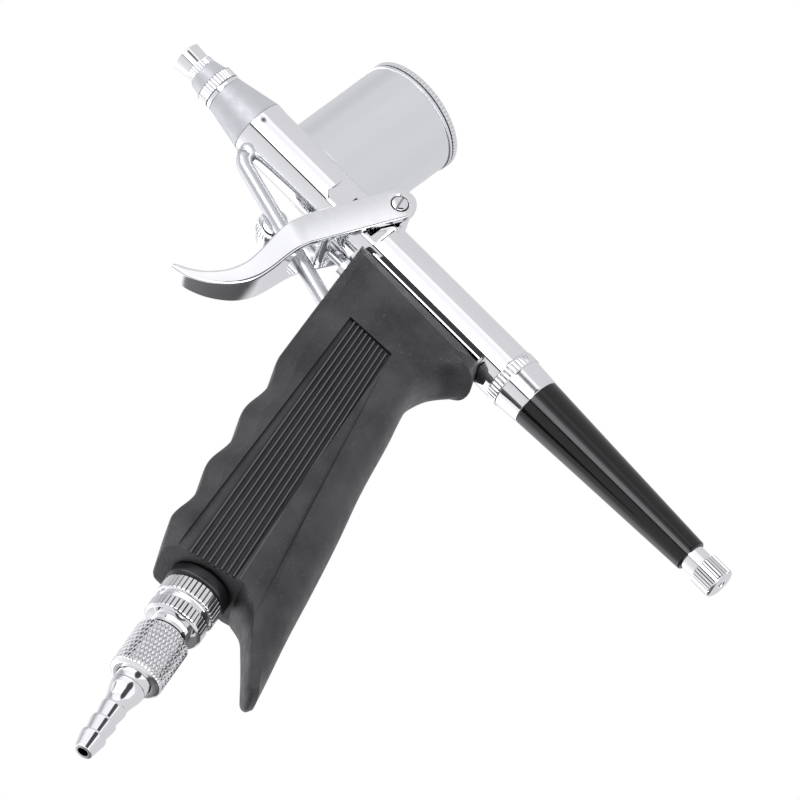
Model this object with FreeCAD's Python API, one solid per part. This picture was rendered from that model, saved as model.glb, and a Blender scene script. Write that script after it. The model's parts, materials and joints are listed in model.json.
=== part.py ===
import FreeCAD, Part
import math
import os

os.makedirs("parts", exist_ok=True)
Vec = FreeCAD.Vector

# Frame: X runs along the barrel from the spray outlet (x = 0) to the tail, Z is up, -Y is the
# user's left. The barrel axis is y = 0, z = 0. All lengths are in millimetres.

# --- barrel and what is screwed into it ---
BARREL_R = 7.6            # main barrel radius
CROWN_END = 6.65          # rear face of the crown cap
NOZZLE_CAP_END = 14.8     # rear face of the nozzle cap, where the head cone starts
HEAD_END = 27.0           # head cone meets the barrel
SPIGOT_R = 6.0            # the head's spigot inside the barrel
SPIGOT_END = 32.8
FRONT_END = 54.5          # shoulder where the barrel is milled narrow for the trigger
REAR_START = 74.0         # full round barrel again
BARREL_END = 120.7        # tail collar seats here
FORK_HALF = 6.4           # half width of the milled section between the trigger plates
CHANNEL_R = 1.3           # paint channel round the needle
PACKING_R = 2.5           # needle packing pocket
PACKING_START = 47.0
PACKING_SCREW_R = 3.0
PACKING_SCREW_START = 51.0
REAR_BORE_START = 58.0
REAR_BORE_R = 4.6         # bore for the needle chuck tube and its spring
COLLAR_SEAT = 112.0       # front end of the tail collar's spigot
COLLAR_R = 5.2
COLLAR_END = 131.2        # tail collar meets the black handle
TAIL_THREAD_END = 137.2   # end of the collar's thread inside the handle
HANDLE_END = 188.6        # rear lip of the black handle
HANDLE_TAIL_R = 4.5
NEEDLE_R = 0.6
STEM_R = 3.65             # chrome neck of the stop knob
KNOB_START = 192.8
KNOB_END = 199.5
KNOB_R = 4.45

# --- trigger ---
PIVOT_X = 69.2
PIVOT_Z = 8.5
PIVOT_END_R = 4.4         # round top end of the trigger plates
TRIGGER_LEAN = math.radians(22)
PLATE_OUT = 8.9           # outer face of each plate
PLATE_IN = 7.0            # inner face of each plate
CROTCH_Z = -22.8          # floor of the slot that the air duct runs through
SCREW_R = 1.5
SCREW_HEAD_R = 2.15
NUB_X = 64.0              # lugs that push the needle tube back
NUB_R = 1.5
WEB_X = 63.5              # round web that pushes the air valve
WEB_Z = -11.5
WEB_R = 1.5

# --- air duct in front of the grip ---
DUCT_R = 2.1
DUCT_BORE_R = 1.3
DUCT_ROOT_X = 31.0         # the duct leaves the barrel's underside here, going straight down
DUCT_ROOT_Z = -6.1
DUCT_SLOPE = math.radians(15.6)
DUCT_BEND_R = 4.5
DUCT_AT = (37.3, -12.0)   # a point (x, z) on the duct's straight centreline
AIR_KNOB_X = 50.0         # air control knob on the duct's right side

# --- air valve, behind the trigger and inside the grip's top ---
VALVE_Z = -11.5
VALVE_CASE_R = 3.4
VALVE_NOSE_X = 71.2
BLOCK_X0 = 80.0
BLOCK_X1 = 102.0
BLOCK_HALF = 6.5
BLOCK_BOTTOM = -30.0
FLANGE_X0 = 75.6
FLANGE_X1 = 115.0
FLANGE_BOTTOM = -7.9
SCREW_XS = (104.6, 110.0)  # screws that hold the block to the barrel
BLOCK_SCREW_R = 1.2

# --- paint cup on the right side ---
CUP_X = 42.0
CUP_Y = 22.0
CUP_R = 15.5
CUP_WALL = 0.6
CUP_BOTTOM = 12.3
CUP_TOP = 46.6
CUP_CONE = 4.0
STEM_PLUG_R = 2.2         # the cup stem's end in the barrel
LID_R = 15.9

# --- grip and the inlet fittings below it ---
RAKE = math.radians(16.0)           # the grip leans back by this angle
INLET = Vec(116.9, 0, -107.4)       # centre of the grip's bottom face
GRIP_HALF = 11.0                    # half thickness of the grip
GRIP_TOP = -7.3
SPUR_TAPER = 0.17                   # mm lost from each side of the spur per mm along it
TUBE_R = 4.5
TUBE_BORE_R = 3.0
TUBE_END = 13.0                     # the tube ends this far below the grip's bottom
BUSH_END = 3.7                      # stations along the inlet axis, from the grip's bottom
NUT_END = 10.3
RING_START = 10.5
RING_END = 15.0
SLEEVE_START = 18.6
SLEEVE_END = 33.9
BODY_R = 4.7
BODY_END = 36.6
BARB_R = 3.5                        # radius of every barb crest
BARB_PITCH = 5.1
BARB_FIRST = 44.2
BARB_LAND = 0.6
TIP = 59.7
BALL_R = 1.1                        # locking balls of the quick coupling
BALL_COUNT = 6
BALL_X = 23.9
BALL_RING_R = 3.85


def revolve(points):
    """Solid of revolution about X from (x, radius) points; the two ends lie on the axis."""
    line = [Vec(x, 0, r) for x, r in points]
    line.append(line[0])
    face = Part.Face(Part.makePolygon(line))
    return face.revolve(Vec(0, 0, 0), Vec(1, 0, 0), 360)


def rod(x0, x1, r):
    """Cylinder along X."""
    return Part.makeCylinder(r, x1 - x0, Vec(x0, 0, 0), Vec(1, 0, 0))


def rod_y(x, z, y0, y1, r):
    """Cylinder along Y."""
    return Part.makeCylinder(r, y1 - y0, Vec(x, y0, z), Vec(0, 1, 0))


def box(x0, x1, y0, y1, z0, z1):
    return Part.makeBox(x1 - x0, y1 - y0, z1 - z0, Vec(x0, y0, z0))


def side_prism(wire, half):
    """Prism from a closed wire in the XZ plane, symmetric about y = 0."""
    moved = wire.copy()
    moved.translate(Vec(0, -half, 0))
    return Part.Face(moved).extrude(Vec(0, 2 * half, 0))


def spline(points):
    curve = Part.BSplineCurve()
    curve.interpolate([Vec(x, 0, z) for x, z in points])
    return curve.toShape()


def line(a, b):
    return Part.LineSegment(Vec(a[0], 0, a[1]), Vec(b[0], 0, b[1])).toShape()


def arc(a, b, c):
    points = [Vec(p[0], 0, p[1]) for p in (a, b, c)]
    return Part.Arc(points[0], points[1], points[2]).toShape()


def on_inlet(shape):
    """Move a shape built along +X, from x = 0 at the grip's bottom, on to the inlet axis."""
    placed = shape.copy()
    placed.rotate(Vec(0, 0, 0), Vec(0, 1, 0), 90 - math.degrees(RAKE))
    placed.translate(INLET)
    return placed


def coil(x0, x1, turns, mean_r, wire_r):
    """Compression spring along X, drawn as a helix with round wire."""
    length = x1 - x0 - 2 * wire_r
    helix = Part.makeHelix(length / turns, length, mean_r)
    ring = Part.Wire(Part.makeCircle(wire_r, Vec(mean_r, 0, 0), Vec(0, 1, 0)))
    solid = Part.Wire(helix).makePipeShell([ring], True, False)
    solid.rotate(Vec(0, 0, 0), Vec(0, 1, 0), 90)
    solid.translate(Vec(x0 + wire_r, 0, 0))
    return solid


def o_ring(x, mean_r, section_r):
    return Part.makeTorus(mean_r, section_r, Vec(x, 0, 0), Vec(1, 0, 0))


# --- spray head ---

def crown_cap():
    outer = revolve([(0, 0), (0, 4.15), (4.5, 3.8), (4.5, 4.2), (CROWN_END, 4.2), (CROWN_END, 0)])
    mouth = revolve([(0, 0), (0, 3.3), (3.2, 2.5), (CROWN_END, 2.5), (CROWN_END, 0)])
    return outer.cut(mouth)


def nozzle_cap():
    outer = revolve([
        (3.3, 0), (3.3, 2.5), (CROWN_END, 2.5), (CROWN_END, 4.3), (10.6, 5.1), (10.6, 5.6),
        (13.5, 5.6), (13.5, 5.5), (NOZZLE_CAP_END, 5.5), (NOZZLE_CAP_END, 0)])
    inner = revolve([
        (3.3, 0), (3.3, 0.8), (4.3, 0.8), (8.6, 2.4), (9.8, 2.4), (9.8, 4.2),
        (NOZZLE_CAP_END, 4.2), (NOZZLE_CAP_END, 0)])
    return outer.cut(inner)


def nozzle():
    outer = revolve([
        (3.1, 0), (3.1, 0.4), (8.6, 1.7), (8.6, 2.1), (10.2, 2.1), (10.2, 1.5), (14.2, 1.5),
        (14.2, 0)])
    inner = revolve([(3.1, 0), (3.1, 0.25), (8.0, 0.85), (14.2, 0.85), (14.2, 0)])
    return outer.cut(inner)


def nozzle_seal():
    return rod(10.2, 10.8, 2.1).cut(rod(10.2, 10.8, 1.5))


def head():
    outer = revolve([
        (10.8, 0), (10.8, 4.2), (NOZZLE_CAP_END, 4.2), (NOZZLE_CAP_END, 5.5), (HEAD_END, 7.9),
        (HEAD_END, SPIGOT_R), (SPIGOT_END, SPIGOT_R), (SPIGOT_END, 0)])
    body = outer.cut(rod(10.8, 14.2, 1.5)).cut(rod(14.2, SPIGOT_END, CHANNEL_R))
    gallery = rod(29.0, 32.2, 3.9).cut(rod(29.0, 32.2, 2.3))
    body = body.cut(gallery).cut(Part.makeCylinder(DUCT_BORE_R, 4, Vec(DUCT_ROOT_X, 0, -6.5)))
    for side in (-1, 1):
        for y, z in ((side * 3.1, 0), (0, side * 3.1)):
            body = body.cut(Part.makeCylinder(0.5, 20, Vec(10, y, z), Vec(1, 0, 0)))
    return body


# --- barrel ---

def fork_cutters():
    """The two side blocks milled away so that the trigger plates can pass."""
    cheek = 2 * BARREL_R
    left = box(FRONT_END, REAR_START, -cheek, -FORK_HALF, -cheek, cheek)
    right = box(FRONT_END, REAR_START, FORK_HALF, cheek, -cheek, cheek)
    return left.fuse(right)


def pivot_lug():
    """Rounded ear on top of the barrel that carries the trigger screw."""
    lug = rod_y(PIVOT_X, PIVOT_Z, -FORK_HALF, FORK_HALF, 3.7)
    foot = box(PIVOT_X - 3.7, PIVOT_X + 3.7, -FORK_HALF, FORK_HALF, 5.0, PIVOT_Z)
    return lug.fuse(foot)


def cup_socket():
    """Hole in the barrel's right side for the cup stem, with the paint port at its bottom."""
    port = Part.makeCylinder(1.2, 4, STEM_ROOT - STEM_DIR * 3.8, STEM_DIR)
    return Part.makeCylinder(STEM_PLUG_R, 12, STEM_ROOT, STEM_DIR).fuse(port)


def barrel():
    body = revolve([
        (HEAD_END, 0), (HEAD_END, 7.9), (30, BARREL_R), (FRONT_END - 1.2, BARREL_R),
        (FRONT_END, BARREL_R - 1.2), (FRONT_END, BARREL_R - 0.3), (REAR_START, BARREL_R - 0.3),
        (REAR_START, BARREL_R), (BARREL_END, BARREL_R), (BARREL_END, 0)])
    body = body.cut(fork_cutters()).fuse(pivot_lug())
    body = body.cut(rod(HEAD_END, SPIGOT_END, SPIGOT_R))
    body = body.cut(rod(SPIGOT_END, PACKING_START, CHANNEL_R))
    body = body.cut(rod(PACKING_START, PACKING_SCREW_START, PACKING_R))
    body = body.cut(rod(PACKING_SCREW_START, REAR_BORE_START, PACKING_SCREW_R))
    body = body.cut(rod(REAR_BORE_START, COLLAR_SEAT, REAR_BORE_R))
    body = body.cut(rod(COLLAR_SEAT, BARREL_END, COLLAR_R))
    slot = box(60.3, 71, -BARREL_R, BARREL_R, -3.2, 1.9)
    body = body.cut(slot).cut(rod_y(PIVOT_X, PIVOT_Z, -BARREL_R, BARREL_R, SCREW_R))
    body = body.cut(cup_socket()).cut(duct_path(DUCT_R))
    for x in SCREW_XS:
        body = body.cut(Part.makeCylinder(BLOCK_SCREW_R, 3, Vec(x, 0, -8)))
    return body.removeSplitter()


def needle_packing():
    return rod(PACKING_START, 49.4, PACKING_R).cut(rod(PACKING_START, 49.4, 0.65))


def packing_screw():
    outer = revolve([
        (49.4, 0), (49.4, 2.4), (PACKING_SCREW_START, 2.4), (PACKING_SCREW_START, PACKING_SCREW_R),
        (56.6, PACKING_SCREW_R), (56.6, 0)])
    slot = box(55.4, 57, -4, 4, -0.4, 0.4)
    return outer.cut(rod(49.4, 56.6, 0.9)).cut(slot)


def spring_guide():
    """Bush screwed into the rear of the barrel; the needle spring pushes against it."""
    return rod(106, COLLAR_SEAT, REAR_BORE_R).cut(rod(106, COLLAR_SEAT, 2.3))


def tail_collar():
    outer = revolve([
        (COLLAR_SEAT, 0), (COLLAR_SEAT, COLLAR_R), (BARREL_END, COLLAR_R), (BARREL_END, 7.85),
        (123.9, 7.85), (123.9, BARREL_R), (COLLAR_END, 7.02), (COLLAR_END, 5.3),
        (TAIL_THREAD_END, 5.3), (TAIL_THREAD_END, 0)])
    return outer.cut(rod(COLLAR_SEAT, TAIL_THREAD_END, 3.7))


def tail_seal():
    return rod(TAIL_THREAD_END, 138.0, 5.3).cut(rod(TAIL_THREAD_END, 138.0, 4.1))


def handle_sleeve():
    outer = revolve([
        (COLLAR_END, 0), (COLLAR_END, 7.0), (187.8, HANDLE_TAIL_R + 0.1),
        (HANDLE_END, HANDLE_TAIL_R - 0.3), (HANDLE_END, 0)])
    inner = revolve([
        (COLLAR_END, 0), (COLLAR_END, 5.3), (138.0, 5.3), (138.0, 4.1), (172, 3.75),
        (HANDLE_END, 3.75), (HANDLE_END, 0)])
    return outer.cut(inner)


def stop_guide():
    """Threaded bush inside the handle that the stop stem runs in."""
    return rod(173, 180, 3.75).cut(rod(173, 180, 2.05))


def stop_stem():
    return rod(172.6, 192.8, 2.0)


def stop_knob():
    outer = revolve([
        (185.4, 0), (185.4, STEM_R), (KNOB_START, STEM_R), (KNOB_START, KNOB_R), (199.0, KNOB_R),
        (KNOB_END, 3.9), (KNOB_END, 0)])
    return outer.cut(rod(185.4, 192.85, 2.05)).cut(rod(196, KNOB_END, 1.15))


# --- needle and its chuck ---

def needle():
    return revolve([(2.4, 0), (9.5, NEEDLE_R), (164, NEEDLE_R), (166, 0)])


def needle_tube():
    """Split chuck tube; its front collar is what the trigger pushes."""
    outer = revolve([
        (65.75, 0), (65.75, 3.9), (68.2, 3.9), (68.2, 2.2), (134, 2.2), (134, 3.0), (143, 2.2),
        (143, 0)])
    return outer.cut(rod(65.75, 143, NEEDLE_R))


def chuck_nut():
    outer = revolve([(143.0, 0), (143.0, 3.1), (150, 3.1), (151, 2.4), (151, 0)])
    return outer.cut(rod(143.0, 151, NEEDLE_R))


def needle_spring():
    return coil(68.6, 105.8, 13, 3.1, 0.35)


# --- trigger ---

def trigger_outline():
    """Round top, straight plates leaning forwards, then the horn that curves to its tip."""
    run = PIVOT_END_R * math.cos(TRIGGER_LEAN)
    rise = PIVOT_END_R * math.sin(TRIGGER_LEAN)
    front_top = (PIVOT_X - run, PIVOT_Z + rise)
    rear_top = (PIVOT_X + run, PIVOT_Z - rise)
    crest = (PIVOT_X + rise, PIVOT_Z + run)
    front = [
        (55.5, -13.6), (54.6, -19.5), (55.9, -27.0), (56.0, -33.0), (54.4, -38.4), (51.1, -42.9),
        (47.6, -45.6), (44.2, -46.8)]
    rear = [
        (44.6, -48.5), (49.2, -47.9), (54.2, -45.2), (59.0, -39.6), (61.8, -32.4), (62.3, -25.5),
        (62.9, -18.8)]
    tip = (43.4, -47.8)
    return Part.Wire([
        arc(rear_top, crest, front_top), line(front_top, front[0]), spline(front),
        arc(front[-1], tip, rear[0]), spline(rear), line(rear[-1], rear_top)])


def trigger_front_view():
    """Width of the trigger at each height: full at the plates, narrow at the finger tip."""
    right = [(PLATE_OUT, -20.0), (6.2, -26.5), (5.4, -32.0), (4.3, -39.0), (3.2, -44.0), (2.5, -50.0)]
    points = [Vec(40, PLATE_OUT, 20)] + [Vec(40, y, z) for y, z in right]
    points += [Vec(40, -y, z) for y, z in reversed(right)] + [Vec(40, -PLATE_OUT, 20)]
    points.append(points[0])
    return Part.Face(Part.makePolygon(points)).extrude(Vec(40, 0, 0))


def trigger():
    blank = side_prism(trigger_outline(), PLATE_OUT).common(trigger_front_view())
    slot = box(40, 80, -PLATE_IN, PLATE_IN, CROTCH_Z, 20)
    body = blank.cut(slot)
    for side in (-1, 1):
        y0, y1 = sorted((side * 2.5, side * (PLATE_IN + 0.2)))
        body = body.fuse(rod_y(NUB_X, 0, y0, y1, NUB_R))
    body = body.fuse(rod_y(WEB_X, WEB_Z, -PLATE_IN - 0.2, PLATE_IN + 0.2, WEB_R))
    body = body.cut(rod_y(PIVOT_X, PIVOT_Z, -10, 10, SCREW_R + 0.06))
    body = body.cut(rod_y(PIVOT_X, PIVOT_Z, -10, -7.8, SCREW_HEAD_R + 0.2))
    return body.cut(rod_y(PIVOT_X, PIVOT_Z, 7.8, 10, SCREW_HEAD_R + 0.2)).removeSplitter()


def pivot_screw():
    head_top = PLATE_OUT + 0.05
    half_slot = 0.3
    shank = rod_y(PIVOT_X, PIVOT_Z, -8.0, 6.0, SCREW_R)
    head = rod_y(PIVOT_X, PIVOT_Z, -head_top, -8.0, SCREW_HEAD_R)
    slot = box(
        PIVOT_X - 3, PIVOT_X + 3, -head_top, -head_top + 0.5, PIVOT_Z - half_slot, PIVOT_Z + half_slot)
    slot.rotate(Vec(PIVOT_X, 0, PIVOT_Z), Vec(0, 1, 0), -50)
    return shank.fuse(head).cut(slot)


def pivot_nut():
    """Cap nut for the pivot screw in the right-hand plate."""
    shank = rod_y(PIVOT_X, PIVOT_Z, 6.0, 8.0, SCREW_R)
    return shank.fuse(rod_y(PIVOT_X, PIVOT_Z, 8.0, PLATE_OUT, SCREW_HEAD_R))


# --- air duct and its control knob ---

def duct_z(x):
    return DUCT_AT[1] - math.tan(DUCT_SLOPE) * (x - DUCT_AT[0])


def duct_path(r):
    """Straight drop out of the barrel, one bend, then the long straight run into the grip."""
    turn = math.pi / 2 - DUCT_SLOPE
    reach = DUCT_BEND_R * math.tan(turn / 2)
    along = Vec(math.cos(DUCT_SLOPE), 0, -math.sin(DUCT_SLOPE))
    corner = Vec(DUCT_ROOT_X, 0, duct_z(DUCT_ROOT_X))
    bend_in = corner + Vec(0, 0, reach)
    bend_out = corner + along * reach
    centre = bend_in + Vec(DUCT_BEND_R, 0, 0)
    ring = Part.Face(Part.Wire(Part.makeCircle(r, bend_in, Vec(0, 0, 1))))
    bend = ring.revolve(centre, Vec(0, -1, 0), math.degrees(turn))
    root = Part.makeCylinder(r, DUCT_ROOT_Z - bend_in.z, bend_in, Vec(0, 0, 1))
    run = (BLOCK_X0 + 3 - bend_out.x) / math.cos(DUCT_SLOPE)
    straight = Part.makeCylinder(r, run, bend_out, along)
    return root.fuse(bend).fuse(straight)


def air_duct():
    boss = rod_y(AIR_KNOB_X, duct_z(AIR_KNOB_X), 0, 2.9, 3.0)
    tube = duct_path(DUCT_R).fuse(boss).cut(duct_path(DUCT_BORE_R))
    return tube.cut(rod_y(AIR_KNOB_X, duct_z(AIR_KNOB_X), 0.2, 3.0, 1.05))


def air_control_knob():
    """Turning it moves a small spindle across the duct's bore."""
    z = duct_z(AIR_KNOB_X)
    ring = rod_y(AIR_KNOB_X, z, 3.2, 5.4, 4.4)
    tail = Part.makeCone(4.0, 3.5, 4.8, Vec(AIR_KNOB_X, 5.4, z), Vec(0, 1, 0))
    return ring.fuse(tail).fuse(rod_y(AIR_KNOB_X, z, 0.8, 3.2, 1.0))


# --- air valve and the block that holds it ---

def valve_block():
    """Chrome block under the barrel: it carries the air valve, the duct and the handle tube."""
    flange = box(FLANGE_X0, FLANGE_X1, -BLOCK_HALF, BLOCK_HALF, FLANGE_BOTTOM, -5.6)
    body = box(BLOCK_X0, BLOCK_X1, -BLOCK_HALF, BLOCK_HALF, BLOCK_BOTTOM, FLANGE_BOTTOM)
    nose = box(VALVE_NOSE_X, BLOCK_X0, -4.6, 4.6, VALVE_Z + 1.0, -6.2)
    block = flange.fuse(body).fuse(nose).cut(rod(60, 130, BARREL_R))
    block = block.cut(on_valve(rod(68, 98, VALVE_CASE_R))).cut(duct_path(DUCT_R))
    block = block.cut(on_inlet(rod(-120, 0, TUBE_R)).common(box(80, 130, -8, 8, -60, -22)))
    gallery = Part.makeCylinder(1.5, 12, Vec(90, 0, -27), Vec(0, 0, 1))
    for x in SCREW_XS:
        block = block.cut(Part.makeCylinder(BLOCK_SCREW_R, 3, Vec(x, 0, -8)))
    return block.cut(gallery).removeSplitter()


def block_screws():
    screws = []
    for x in SCREW_XS:
        shank = Part.makeCylinder(BLOCK_SCREW_R, 2.2, Vec(x, 0, FLANGE_BOTTOM))
        head = Part.makeCylinder(2.2, 1.6, Vec(x, 0, FLANGE_BOTTOM - 1.6))
        screws.append(shank.fuse(head))
    return Part.makeCompound(screws)


def on_valve(shape):
    moved = shape.copy()
    moved.translate(Vec(0, 0, VALVE_Z))
    return moved


def valve_casing():
    outer = rod(VALVE_NOSE_X, 92, VALVE_CASE_R)
    inner = rod(VALVE_NOSE_X, 78, 1.2).fuse(rod(78, 92, 2.5))
    port = Part.makeCylinder(1.5, 4, Vec(90, 0, -4))
    return on_valve(outer.cut(inner).cut(port))


def valve_seat():
    return on_valve(rod(78, 79.2, 2.5).cut(rod(78, 79.2, 1.25)))


def valve_plunger():
    return on_valve(revolve([
        (65.4, 0), (65.4, 0.9), (65.8, 1.1), (80.4, 1.1), (80.4, 2.0), (81.6, 2.0), (81.6, 0.8),
        (84.5, 0.8), (84.5, 0)]))


def plunger_seal():
    return on_valve(rod(79.3, 80.4, 1.9).cut(rod(79.3, 80.4, 1.1)))


def valve_plug():
    spring_seat = rod(92, 93.5, 1.2)
    slot = box(97, 99, -4, 4, -0.5, 0.5)
    return on_valve(rod(92, 98, VALVE_CASE_R).cut(spring_seat).cut(slot))


def valve_spring():
    return on_valve(coil(81.8, 91.9, 5, 1.7, 0.25))


# --- paint cup ---

def stem_frame():
    """Root of the cup stem in the barrel's side, and its direction towards the cup's bottom."""
    root = Vec(CUP_X, 4.4, 0.6)
    top = Vec(CUP_X, CUP_Y, CUP_BOTTOM - CUP_CONE - 1.0)
    along = top - root
    return root, along.normalize()


def paint_cup():
    """Round wall of the cup with its rim; the cone below is soldered into it."""
    wall = Part.makeCylinder(CUP_R, CUP_TOP - CUP_BOTTOM, Vec(CUP_X, CUP_Y, CUP_BOTTOM))
    rim = Part.makeCylinder(CUP_R + 0.3, 0.8, Vec(CUP_X, CUP_Y, CUP_TOP - 0.8))
    bore = Part.makeCylinder(CUP_R - CUP_WALL, CUP_TOP - CUP_BOTTOM, Vec(CUP_X, CUP_Y, CUP_BOTTOM))
    return wall.fuse(rim).cut(bore)


def cup_floor():
    """Cone at the bottom of the cup, with the hole that the paint runs out through."""
    bottom = CUP_BOTTOM - CUP_CONE
    bore_r = CUP_R - CUP_WALL
    cone = Part.makeCone(4.2, CUP_R, CUP_CONE, Vec(CUP_X, CUP_Y, bottom))
    register = Part.makeCylinder(bore_r, CUP_WALL, Vec(CUP_X, CUP_Y, CUP_BOTTOM))
    hollow = Part.makeCone(2.0, bore_r, CUP_CONE + CUP_WALL, Vec(CUP_X, CUP_Y, bottom + CUP_WALL))
    drain = Part.makeCylinder(1.6, 6, Vec(CUP_X, CUP_Y, bottom - 1))
    return cone.fuse(register).cut(hollow).cut(drain)


def cup_stem():
    """Angled spigot from the barrel's side socket up to the cup's bottom."""
    bottom = CUP_BOTTOM - CUP_CONE
    run = (bottom - 1.0 - STEM_ROOT.z) / STEM_DIR.z
    plug = Part.makeCylinder(STEM_PLUG_R, run, STEM_ROOT, STEM_DIR)
    shank = Part.makeCylinder(3.0, run - 5.4, STEM_ROOT + STEM_DIR * 5.4, STEM_DIR)
    elbow = Part.makeSphere(3.4, STEM_ROOT + STEM_DIR * run)
    neck = Part.makeCylinder(3.0, 1.6, Vec(CUP_X, CUP_Y, bottom - 1.6))
    body = plug.fuse(shank).fuse(elbow).fuse(neck)
    body = body.cut(Part.makeCylinder(8, 6, Vec(CUP_X, CUP_Y, bottom)))
    body = body.cut(Part.makeCylinder(1.2, run, STEM_ROOT, STEM_DIR))
    return body.cut(Part.makeCylinder(1.6, 2.5, Vec(CUP_X, CUP_Y, bottom - 2.0)))


def cup_lid():
    disc = Part.makeCylinder(LID_R, 0.8, Vec(CUP_X, CUP_Y, CUP_TOP + 1.4))
    skirt = Part.makeCylinder(LID_R, 1.1, Vec(CUP_X, CUP_Y, CUP_TOP + 0.3))
    spigot_r = CUP_R - CUP_WALL - 0.12
    spigot = Part.makeCylinder(spigot_r, 3.6, Vec(CUP_X, CUP_Y, CUP_TOP - 2.2))
    hollow = Part.makeCylinder(spigot_r - 0.6, 3.6, Vec(CUP_X, CUP_Y, CUP_TOP - 2.2))
    vent = Part.makeCylinder(0.75, 8, Vec(CUP_X + 5, CUP_Y, CUP_TOP - 3))
    return disc.fuse(skirt).fuse(spigot).cut(hollow).cut(vent)


# --- grip ---

def scallop_points():
    """Finger bumps down the front: evenly spaced crests with shallow hollows between them."""
    crest_x, crest_z = 82.3, -47.4
    step_x, step_z = 5.7, -18.4
    points = []
    for i in range(3):
        x = crest_x + i * step_x
        z = crest_z + i * step_z
        points.append((x, z))
        points.append((x + step_x * 0.5 + 1.8, z + step_z * 0.5 + 0.6))
    points.append((crest_x + 3 * step_x, crest_z + 3 * step_z))
    return points


def blend(full, face, k):
    """Points part of the way from the widest outline (k = 0) to the flat side face's (k = 1)."""
    return [(a[0] + k * (b[0] - a[0]), a[1] + k * (b[1] - a[1])) for a, b in zip(full, face)]


def grip_outline(k, y):
    """Closed side outline of the grip at width y; its edges are rounded in towards the flat face."""
    across = (math.cos(RAKE), math.sin(RAKE))
    bumps = scallop_points()
    low = (INLET.x - 13.6 * across[0], INLET.z - 13.6 * across[1])
    notch = (INLET.x + 9.6 * across[0], INLET.z + 9.6 * across[1])
    front = [(71.4, GRIP_TOP)] + bumps + [low, notch]
    front_face = [(75.2, GRIP_TOP - 4.2)] + [(x + 5.0, z + 1.4) for x, z in bumps]
    front_face += [(low[0] + 4.4, low[1] + 1.6), (notch[0] + 0.4, notch[1] + 0.6)]
    spur = [(135.9, -110.4), (141.6, -116.0), (145.8, -120.4), (148.6, -121.9), (150.3, -119.4)]
    spur_face = [(136.6, -109.8), (142.2, -115.6), (146.2, -119.7), (148.2, -120.8), (149.3, -118.6)]
    rear = [
        (141.8, -99.9), (130.8, -73.2), (120.7, -49.6), (113.4, -32.2), (111.2, -24.0), (112.8, -16.8),
        (117.2, -12.4), (FLANGE_X1 + 0.8, GRIP_TOP)]
    rear_face = [
        (133.6, -99.0), (121.4, -75.0), (113.0, -49.6), (108.4, -34.2), (107.6, -26.0),
        (108.2, -19.4), (110.3, -13.4), (110.6, GRIP_TOP - 4.2)]
    a = blend(front, front_face, k)
    b = blend(spur, spur_face, k)
    c = blend(rear, rear_face, k)
    wire = Part.Wire([
        line(a[0], a[1]), spline(a[1:-2]), line(a[-3], a[-2]), line(a[-2], a[-1]),
        spline([a[-1], b[0], b[1], b[2]]), arc(b[2], b[3], b[4]), spline([b[4]] + c[:-1]),
        line(c[-2], c[-1]), line(c[-1], a[0])])
    wire.translate(Vec(0, y, 0))
    return wire


def spur_taper(side):
    """Wedge outside the spur, which gets thinner from both sides towards its tip."""
    along = Vec(0.594, 0, -0.804)
    across = Vec(0.804, 0, 0.594)
    start = Vec(132.0, 0, -97.0) - across * 25
    length = 40
    outside = Vec(0, side * (GRIP_HALF + 1), 0)
    corners = [
        start + Vec(0, side * GRIP_HALF, 0), start + outside, start + along * length + outside,
        start + along * length + Vec(0, side * (GRIP_HALF - length * SPUR_TAPER), 0)]
    return Part.Face(Part.makePolygon(corners + corners[:1])).extrude(across * 50)


def grip():
    rounding = [(1.0, 1.0), (0.86, 0.52), (0.74, 0.17), (0.6, 0.0), (0.0, 0.0)]
    sections = [grip_outline(k, -GRIP_HALF * t) for t, k in rounding]
    sections += [grip_outline(k, GRIP_HALF * t) for t, k in reversed(rounding[:-1])]
    body = Part.makeLoft(sections, True, True)
    pocket = box(BLOCK_X0, BLOCK_X1, -BLOCK_HALF, BLOCK_HALF, BLOCK_BOTTOM, 0)
    pocket = pocket.fuse(box(FLANGE_X0, FLANGE_X1, -BLOCK_HALF, BLOCK_HALF, FLANGE_BOTTOM, 0))
    nose = box(66, BLOCK_X0, -4.6, 4.6, VALVE_Z, 0).fuse(on_valve(rod(60, BLOCK_X0, VALVE_CASE_R)))
    heads = box(SCREW_XS[0] - 3, SCREW_XS[-1] + 3, -2.6, 2.6, FLANGE_BOTTOM - 1.8, 0)
    bore = on_inlet(rod(-120, 5, TUBE_R)).fuse(on_inlet(rod(-8, 5, 6.6)))
    bore = bore.common(box(80, 140, -8, 8, -130, BLOCK_BOTTOM))
    body = body.cut(pocket).cut(nose).cut(heads).cut(bore).cut(duct_path(DUCT_R + 0.1))
    body = body.cut(spur_taper(-1)).cut(spur_taper(1))
    return body.cut(rod(60, 130, BARREL_R)).removeSplitter()


# --- inlet fittings, all along the grip's own axis ---

def handle_tube():
    """Air tube from the valve block down through the grip to the inlet."""
    top_z = -24.0
    start = -(top_z - INLET.z) / math.cos(RAKE)
    return on_inlet(rod(start, TUBE_END, TUBE_R).cut(rod(start, TUBE_END, TUBE_BORE_R)))


def grip_bush():
    outer = revolve([
        (-8, 0), (-8, 6.6), (0, 6.6), (0, 8.75), (BUSH_END - 0.8, 8.75), (BUSH_END, 8.2),
        (BUSH_END, 0)])
    return on_inlet(outer.cut(rod(-8, BUSH_END, TUBE_R)))


def grip_nut():
    outer = revolve([
        (BUSH_END, 0), (BUSH_END, 8.45), (8.6, 8.45), (8.6, 7.3), (NUT_END, 7.3), (NUT_END, 0)])
    return on_inlet(outer.cut(rod(BUSH_END, NUT_END, TUBE_R)))


def inlet_seal():
    return on_inlet(rod(NUT_END, RING_START, 5.6).cut(rod(NUT_END, RING_START, TUBE_R)))


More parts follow.
